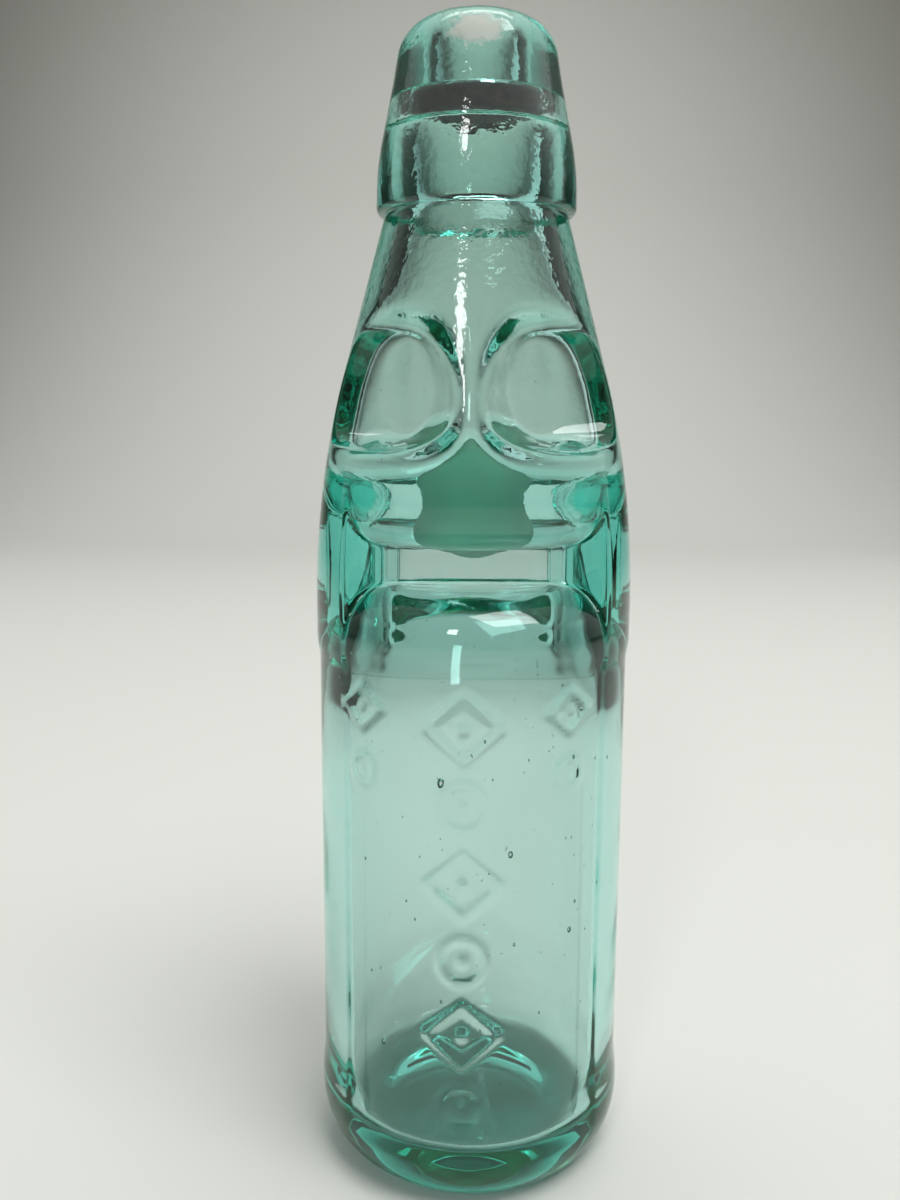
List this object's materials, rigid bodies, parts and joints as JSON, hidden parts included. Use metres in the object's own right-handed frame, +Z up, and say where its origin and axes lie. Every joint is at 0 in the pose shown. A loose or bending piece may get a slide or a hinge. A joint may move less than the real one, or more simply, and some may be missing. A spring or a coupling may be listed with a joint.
{
  "type": "marble stopper bottle",
  "caption": "Thick glass soda bottle with a pinched waist and dimpled neck, whose loose marble rises to seal against a rubber ring in the lip.",
  "frame": {"origin": "middle of the base, on the surface that the bottle stands on", "axes": "+Z runs up the bottle to its mouth, -Y is the front, where the two dimples are"},
  "size_m": [0.058, 0.058, 0.2065],
  "materials": {
    "bottle_glass": "gloss",
    "marble_glass": "gloss",
    "ring_rubber": "matt"
  },
  "bodies": {
    "bottle": {"bottle_body": "bottle_glass", "applied_lip": "bottle_glass", "sealing_ring": "ring_rubber"},
    "marble": {"marble": "marble_glass"}
  },
  "joints": [
    {"name": "marble_travel", "type": "slide", "parent": "bottle", "child": "marble", "axis": [0, 0, 1], "range_m": [0, 0.0587]}
  ]
}
